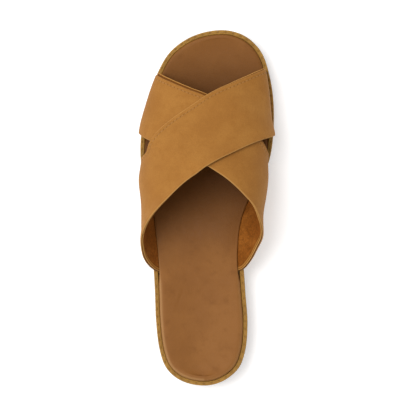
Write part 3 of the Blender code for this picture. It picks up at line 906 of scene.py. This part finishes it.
def last_points(along, inner):
    """The foot of each section, and the five points that its curve is drawn with."""
    place = np.clip(along, LAST[0].along, LAST[-1].along)

    def column(name):
        return curve([(row.along, getattr(row, name)) for row in LAST], place)

    level = rim(along)
    edge_x = inset_x(along, inner, WELT_WIDTH + CLEAR + STRAP_WALL / 2)
    foot_x = edge_x + np.where(inner, 1, -1) * FOOT_SHIFT
    swell = np.where(inner, column("swell_inner"), -column("swell_outer")) * BALL_WIDTH
    wide = np.where(inner, column("wide_inner"), column("wide_outer")) * INSTEP
    foot = np.stack([foot_x, seat(along) + CLEAR], axis=-1)
    start = np.stack([foot_x, level + CLEAR], axis=-1)
    widest = np.stack([edge_x + swell, level + wide], axis=-1)
    crest = column("crest") * INSTEP + level + FOOTBED_RISE
    top = np.stack([column("ridge") * BALL_WIDTH, crest], axis=-1)
    climb = wide - CLEAR
    lower = start + np.stack([swell * WALL_LEAN, climb * WALL_RISE], axis=-1)
    upper = widest - np.stack([climb * 0, climb * WALL_UPRIGHT], axis=-1)
    return foot, (start, lower, upper, widest, top)


# %% [markdown]
# Half a section is a side wall that swells out from the groove beside the footbed, and a quarter
# of an oval up to the crest. A girth becomes a point by walking that curve, so equal steps of
# girth are equal steps over the foot.

# %% Surface of the last
FOOT_GIRTH = 0.017
TURNS = np.linspace(0, 2, 41)


def along_arch(points, turn):
    """Points of the sections: turn 0 to 1 up the side wall, 1 to 2 over to the crest."""
    t = np.clip(turn, 0, 1)[..., None]
    bend = np.clip(turn - 1, 0, 1)[..., None] * np.pi / 2
    a, b, c, d, e = (point[:, None, :] for point in points)
    wall = a * (1 - t) ** 3 + b * 3 * t * (1 - t) ** 2 + c * 3 * t * t * (1 - t) + d * t ** 3
    vault = np.concatenate([
        e[..., :1] + (d - e)[..., :1] * np.cos(bend),
        d[..., 1:] + (e - d)[..., 1:] * np.sin(bend),
    ], axis=-1)
    return np.where(turn[..., None] <= 1, wall, vault)


def last_surface(along, girth):
    """Points of the straps' middle layer."""
    inner = girth > 0.5
    reach = np.where(inner, 1 - girth, girth)
    foot, points = last_points(along, inner)
    table = along_arch(points, np.broadcast_to(TURNS, (len(along), len(TURNS))))
    lengths = np.linalg.norm(np.diff(table, axis=1), axis=-1)
    run = np.concatenate([np.zeros((len(along), 1)), np.cumsum(lengths, axis=1)], axis=1)
    left = np.clip((reach - FOOT_GIRTH) / (0.5 - FOOT_GIRTH), 0, 1) * run[:, -1]
    k = np.clip((run < left[:, None]).sum(axis=1) - 1, 0, len(TURNS) - 2)
    rows = np.arange(len(along))
    part = (left - run[rows, k]) / lengths[rows, k]
    spot = along_arch(points, ((k + part) * (TURNS[1] - TURNS[0]))[:, None])[:, 0]
    climbed = np.clip(reach / FOOT_GIRTH, 0, 1)[:, None]
    spot = np.where(reach[:, None] < FOOT_GIRTH, foot + (points[0] - foot) * climbed, spot)
    return np.column_stack([spot[:, 0], (along - 0.5) * LENGTH, spot[:, 1]])


crossing = last_surface(np.array([0.62]), np.array([0.5]))
print(f"last under the straps' crossing: {crossing[0, 2] / MM:.0f} mm high")

# %% [markdown]
# A layer of leather lies off that surface, square to it. The directions away from the last, round
# it and forward are read from neighbouring places.

# %% Directions on the last
GIRTH_NUDGE = 0.004


def last_frame(along, girth):
    """Points of the last, and the directions away from it, round it and forward."""
    low, high = np.clip(girth - GIRTH_NUDGE, 0, 1), np.clip(girth + GIRTH_NUDGE, 0, 1)
    around = last_surface(along, high) - last_surface(along, low)
    forward = last_surface(along + NUDGE, girth) - last_surface(along - NUDGE, girth)
    return last_surface(along, girth), unit(np.cross(around, forward)), unit(around), unit(forward)


# %% [markdown]
# The over strap climbs over the edges of the under strap and comes down again beyond them. Its
# rear edge stands off the foot a little, as a strap does that isn't worn.

# %% Lift of the over strap
LIFT = 2.2 * MM
RAMP_START = 1.0 * MM
FRONT_RAMP = 30.0 * MM
REAR_RAMP = 10.0 * MM
REAR_FLARE = 1.1 * MM
FLARE_WIDTH = 12 * MM


def over_lift(along, girth):
    ahead = ease(RAMP_START, FRONT_RAMP, (along - curve(UNDER_FRONT, girth)) * LENGTH)
    behind = ease(RAMP_START, REAR_RAMP, (curve(UNDER_REAR, girth) - along) * LENGTH)
    inwards = (along - curve(OVER_REAR, girth)) * LENGTH
    flare = REAR_FLARE * (1 - ease(0.0, FLARE_WIDTH, inwards))
    feet = ease(0.02, 0.12, np.minimum(girth, 1 - girth))
    return LIFT * (1 - np.maximum(ahead, behind)) + flare * feet


def no_lift(along, girth):
    return np.zeros_like(along)


# %% [markdown]
# A strap bends at its feet and where the foot flexes, which leaves soft, broad creases. They are
# listed with its two edges, how far the nubuck is held back at the front, and its lift.

# %% The two straps
GIRTH_LENGTH = 190 * MM
Strap = namedtuple("Strap", "name front rear reveal lift creases")
UNDER = Strap("under_strap", UNDER_FRONT, UNDER_REAR, 2.0 * MM, no_lift, [
    Crease(0.12, 0.78, 100, 34 * MM, 6 * MM, 0.25 * MM),
    Crease(0.28, 0.76, 120, 36 * MM, 9 * MM, 0.15 * MM),
    Crease(0.78, 0.56, 110, 40 * MM, 9 * MM, 0.25 * MM),
    Crease(0.90, 0.46, 95, 38 * MM, 6 * MM, 0.25 * MM),
])
OVER = Strap("over_strap", OVER_FRONT, OVER_REAR, 1.0 * MM, over_lift, [
    Crease(0.12, 0.48, 80, 38 * MM, 7 * MM, 0.30 * MM),
    Crease(0.26, 0.58, 60, 46 * MM, 10 * MM, 0.18 * MM),
    Crease(0.70, 0.78, 50, 34 * MM, 10 * MM, 0.12 * MM),
    Crease(0.88, 0.80, 85, 34 * MM, 6 * MM, 0.25 * MM),
])
print("creases on the straps:", len(UNDER.creases) + len(OVER.creases))

# %% [markdown]
# At its feet a strap is pressed into the groove, and is thinner there. Its creases fade out before
# the feet.

# %% Heights over the last
FOOT_SQUEEZE = 0.3


def squeezed(girth):
    """Share of a strap's thickness that is left where its feet are pressed into the groove."""
    return 1 - FOOT_SQUEEZE * (1 - ease(FOOT_GIRTH, 0.07, np.minimum(girth, 1 - girth)))


def points_over(strap, along, girth, offset):
    """Points at an offset from the strap's middle, with its lift and creases."""
    spots, normals, _, _ = last_frame(along, girth)
    feet = ease(0.02, 0.10, np.minimum(girth, 1 - girth))
    height = offset * squeezed(girth) + strap.lift(along, girth)
    height += crease_height(strap.creases, along, girth, GIRTH_LENGTH) * feet
    return spots + normals * height[:, None]


# %% [markdown]
# A seam follows the front edge at an even distance. The edge runs slantwise over the foot, so a
# distance square to it is stretched to get the place along the shoe.

# %% Line of the seam
GIRTHS = 300
ALL_GIRTHS = np.linspace(0, 1, GIRTHS + 1)


def edge_stretch(line):
    """Distance along the shoe for one square to the edge line."""
    spots, _, _, forward = last_frame(curve(line, ALL_GIRTHS), ALL_GIRTHS)
    heading = unit(np.gradient(spots, axis=0))
    return 1 / np.linalg.norm(np.cross(forward, heading), axis=1)


def seam_line(strap):
    """Places along the shoe of the seam beside the nubuck's front edge."""
    stretched = (strap.reveal + SEAM_IN) * edge_stretch(strap.front) / LENGTH
    return curve(strap.front, ALL_GIRTHS) - stretched


def seam_phase(strap):
    """How many stitches the seam has up to each girth."""
    spots, _, _, _ = last_frame(seam_line(strap), ALL_GIRTHS)
    steps = np.linalg.norm(np.diff(spots, axis=0), axis=1)
    return np.concatenate([[0], np.cumsum(steps)]) / SEAM_PITCH


print("length of the seams in stitches:", [int(seam_phase(strap)[-1]) for strap in (UNDER, OVER)])

# %% [markdown]
# A strap is two leathers glued flesh to flesh: the nubuck outside and the suede lining. Each is a
# closed, flat tube. Its rows run round the thickness, close together at the rounded edges, and its
# columns run over the foot.

# %% Rows of a strap layer
FINE = np.array([0.9, 1.2, 1.5, 1.8, 2.1, 2.35, 2.6, 2.85, 3.2, 3.8, 4.6]) * MM
TOP_ROWS, BOTTOM_ROWS = 50, 30
Row = namedtuple("Row", "origin distance side")


def layer_rows(half):
    """Rows once round a layer: rear edge, top, front edge and underside."""
    bends = np.radians(np.linspace(-90, 90, 9))
    edge = [(half * (1 - math.cos(bend)), math.sin(bend)) for bend in bends]
    edge += [(distance, 1.0) for distance in FINE]
    rows = [Row("rear", distance, side) for distance, side in edge]
    rows += [Row("between", share, 1.0) for share in np.linspace(0, 1, TOP_ROWS)[1:-1]]
    rows += [Row("front", distance, side) for distance, side in reversed(edge)]
    rows += [Row("between", share, -1.0) for share in np.linspace(1, 0, BOTTOM_ROWS)[1:-1]]
    return rows + rows[:1]


def layer_places(strap, rows, front_in, rear_in):
    """Places along the shoe of all the rows, and their distances from both edges."""
    front_stretch, rear_stretch = edge_stretch(strap.front), edge_stretch(strap.rear)
    front = curve(strap.front, ALL_GIRTHS) - front_in * front_stretch / LENGTH
    rear = curve(strap.rear, ALL_GIRTHS) + rear_in * rear_stretch / LENGTH
    deep = FINE[-1] / LENGTH
    start, end = rear + deep * rear_stretch, front - deep * front_stretch
    along = np.array([{
        "rear": rear + row.distance * rear_stretch / LENGTH,
        "front": front - row.distance * front_stretch / LENGTH,
        "between": start + (end - start) * row.distance,
    }[row.origin] for row in rows])
    front_gap = (front - along) * LENGTH / front_stretch
    rear_gap = (along - rear) * LENGTH / rear_stretch
    return along, front_gap, rear_gap


# %% [markdown]
# A grid is bent into the tube, its seam is merged and its two ends are filled. By hand it would be
# a strip made solid and bent round the foot. Here its points are placed at once, so that the roll
# of the turned edge and the furrow of the seam have rows of their own.

# %% Strap layer
ROLL_RISE, ROLL_FALL = (0.2 * MM, 1.3 * MM), (1.5 * MM, 3.3 * MM)
FURROW, FURROW_WIDTH = 0.10 * MM, 0.45 * MM
RUBBED_HIGHLIGHT_FRONT, RUBBED_HIGHLIGHT_REAR = 0.15, 0.6


def bent_tube(name, points):
    """Closed tube from a table of points: its rows run round, its columns over the foot."""
    rows = len(points) // (GIRTHS + 1) - 1
    deselect()
    bpy.ops.mesh.primitive_grid_add(x_subdivisions=GIRTHS, y_subdivisions=rows, size=1.0)
    column, row = grid_places(GIRTHS, rows)
    order = row * (GIRTHS + 1) + column
    return name_new(name, points[order]), order


def close_tube():
    bpy.ops.object.mode_set(mode="EDIT")
    bpy.ops.mesh.select_all(action="SELECT")
    bpy.ops.mesh.remove_doubles(threshold=MERGE)
    bpy.ops.mesh.select_all(action="SELECT")
    bpy.ops.mesh.fill_holes(sides=0)
    bpy.ops.object.mode_set(mode="OBJECT")


def add_layer(strap, kind, front_in, rear_in, low, high, roll=0.0):
    """Layer of a strap between two heights, held in from its edge lines."""
    rows = layer_rows((high - low) / 2)
    along, front_gap, rear_gap = layer_places(strap, rows, front_in, rear_in)
    girth = np.broadcast_to(ALL_GIRTHS, along.shape)
    side = np.broadcast_to(np.array([row.side for row in rows])[:, None], along.shape)
    near = np.minimum(front_gap, rear_gap)
    turned = ease(*ROLL_RISE, near) * (1 - ease(*ROLL_FALL, near))
    sewn = np.exp(-((front_gap - SEAM_IN) / FURROW_WIDTH) ** 2)
    relief = roll * turned - FURROW * sewn * (roll > 0)
    offset = (high + low) / 2 + (high - low) / 2 * side + np.where(side > 0.99, relief, 0.0)
    points = points_over(strap, along.ravel(), girth.ravel(), offset.ravel())
    piece, order = bent_tube(f"{strap.name}_{kind}", points)
    # edges lighter, partly wear and partly a painted highlight, stronger on the rear edges
    rub_and_highlight = np.where(front_gap < rear_gap, RUBBED_HIGHLIGHT_FRONT, RUBBED_HIGHLIGHT_REAR)
    labels = {
        "edge_mm": near / MM,
        "front_mm": front_gap / MM,
        "seam_phase": np.broadcast_to(seam_phase(strap), along.shape),
        "inside": np.maximum(0, -side),
        "rubbed_and_highlight": rub_and_highlight * (1 - ease(0.1 * MM, 0.9 * MM, near)),
    }
    for label, values in labels.items():
        label_points(piece, label, values.ravel()[order])
    close_tube()
    return piece


# %% [markdown]
# The under strap goes on first. At its front edge the lining stands a little further out than
# the nubuck, so that its light turned edge shows below it. The over strap follows on top.

# %% Straps
NUBUCK_ROLL = 0.06 * MM
LINING_FRONT_IN, LINING_REAR_IN = 0.15 * MM, 0.55 * MM


def make_strap(strap):
    outer = add_layer(strap, "nubuck", strap.reveal, 0.0, -0.15 * MM, 1.0 * MM, NUBUCK_ROLL)
    finish_piece(outer, NUBUCK, 50)
    lining = add_layer(strap, "lining", LINING_FRONT_IN, LINING_REAR_IN, -1.0 * MM, -0.2 * MM)
    finish_piece(lining, SUEDE, 50)
    for piece in (outer, lining):
        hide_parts("upper")


for strap in (UNDER, OVER):
    make_strap(strap)

# %% [markdown]
# A row of stitches holds the turned front edge of each strap, with a fine pitch of about nine
# stitches to an inch. The thread sinks into the furrow that its own pull has made.

# %% Strap seams
THREAD_HEIGHT = 0.97 * MM
STRAP_STITCH = (2.0 * MM, 0.50 * MM, 0.40 * MM)


def sew_strap(strap):
    along, phase = seam_line(strap), seam_phase(strap)
    line = points_over(strap, along, ALL_GIRTHS, np.full_like(along, THREAD_HEIGHT))
    _, normals, _, _ = last_frame(along, ALL_GIRTHS)
    places = np.arange(2.5, phase[-1] - 2)

    def at(table):
        return np.column_stack([np.interp(places, phase, table[:, i]) for i in range(3)])

    headings = unit(at(np.gradient(line, axis=0)))
    ups = unit(at(normals))
    ups = unit(ups - headings * (ups * headings).sum(axis=1, keepdims=True))
    add_seam(f"{strap.name}_stitches", at(line), headings, ups, STRAP_STITCH, STRAP_THREAD)


for strap in (UNDER, OVER):
    sew_strap(strap)

# %% [markdown]
# The sandal stands on a plain, pale table that glows a little, as a light table does, which keeps
# the ground white and the shadows thin.

# %% Table
def pale_table():
    material, _, _ = new_material(
        "pale_table", Base_Color="#f6f6f6", Roughness=0.9, Specular_IOR_Level=0.0,
        Emission_Color="#ffffff", Emission_Strength=0.31)
    deselect()
    bpy.ops.mesh.primitive_plane_add(size=4.0, location=(0, 0, 0))
    floor = bpy.context.object
    floor.name = "table_top"
    floor.data.materials.append(material)
    print("floor:", floor.name, "in", material.name)


pale_table()

# %% [markdown]
# Soft light comes from all round, most of it from straight above, as under a large diffuser. Two
# soft boxes on the left make that side of the straps lighter and send a faint shadow to the right.

# %% Light
ZENITH, HORIZON = 0.90, 0.20


def soft_light(name, place, size, power):
    """Round soft box that points at the middle of the shoe."""
    deselect()
    bpy.ops.object.light_add(type="AREA", location=place)
    light = bpy.context.object
    light.name = name
    light.data.shape = "DISK"
    light.data.size = size
    light.data.energy = power
    aim = Vector((0, 0, 0.03)) - Vector(place)
    light.rotation_mode = "QUATERNION"
    light.rotation_quaternion = aim.to_track_quat("-Z", "Y")


def pale_room():
    """Light from all round that grows from the horizon to the zenith."""
    world = bpy.data.worlds.new("pale_room")
    bpy.context.scene.world = world
    world.use_nodes = True
    tree = world.node_tree
    direction = add_node(tree, "TexCoord", {}, "Generated")
    height = add_node(tree, "SeparateXYZ", {"Vector": direction}, "Z")
    strength = add_node(tree, "MapRange", {"Value": height, "To Min": HORIZON, "To Max": ZENITH})
    set_sockets(tree, tree.nodes["Background"], {"Color": "#ffffff", "Strength": strength})


soft_light("overhead_softbox", (-0.50, 0.30, 1.7), 1.0, 17)
soft_light("left_softbox", (-1.6, 0.0, 0.8), 0.7, 6)
pale_room()
bpy.context.scene.view_settings.view_transform = "Standard"
print("lights:", [item.name for item in bpy.data.objects if item.type == "LIGHT"])

# %% [markdown]
# The camera looks almost straight down, from a metre and a half, as for a catalogue picture. The
# shoe's length stands upright in it.

# %% Camera
CAMERA_PLACE = Vector((0.073, 0.0125, 1.52))
CAMERA_TARGET = Vector((0.001, 0.0, 0.02))
LENS, SENSOR = 181, 36


def add_camera():
    deselect()
    bpy.ops.object.camera_add(location=CAMERA_PLACE)
    camera = bpy.context.object
    camera.data.sensor_width = SENSOR
    camera.data.lens = LENS
    camera.rotation_mode = "QUATERNION"
    back = (CAMERA_PLACE - CAMERA_TARGET).normalized()
    right = Vector((0, 1, 0)).cross(back).normalized()
    up = back.cross(right)
    camera.rotation_quaternion = Matrix((right, up, back)).transposed().to_quaternion()
    bpy.context.scene.camera = camera


add_camera()
print(f"camera: {(CAMERA_PLACE - CAMERA_TARGET).length:.2f} m away")

# %% [markdown]
# Last, nothing is left selected. The dressed shoe hardly outgrows the imported model's box.

# %% Finish
deselect()
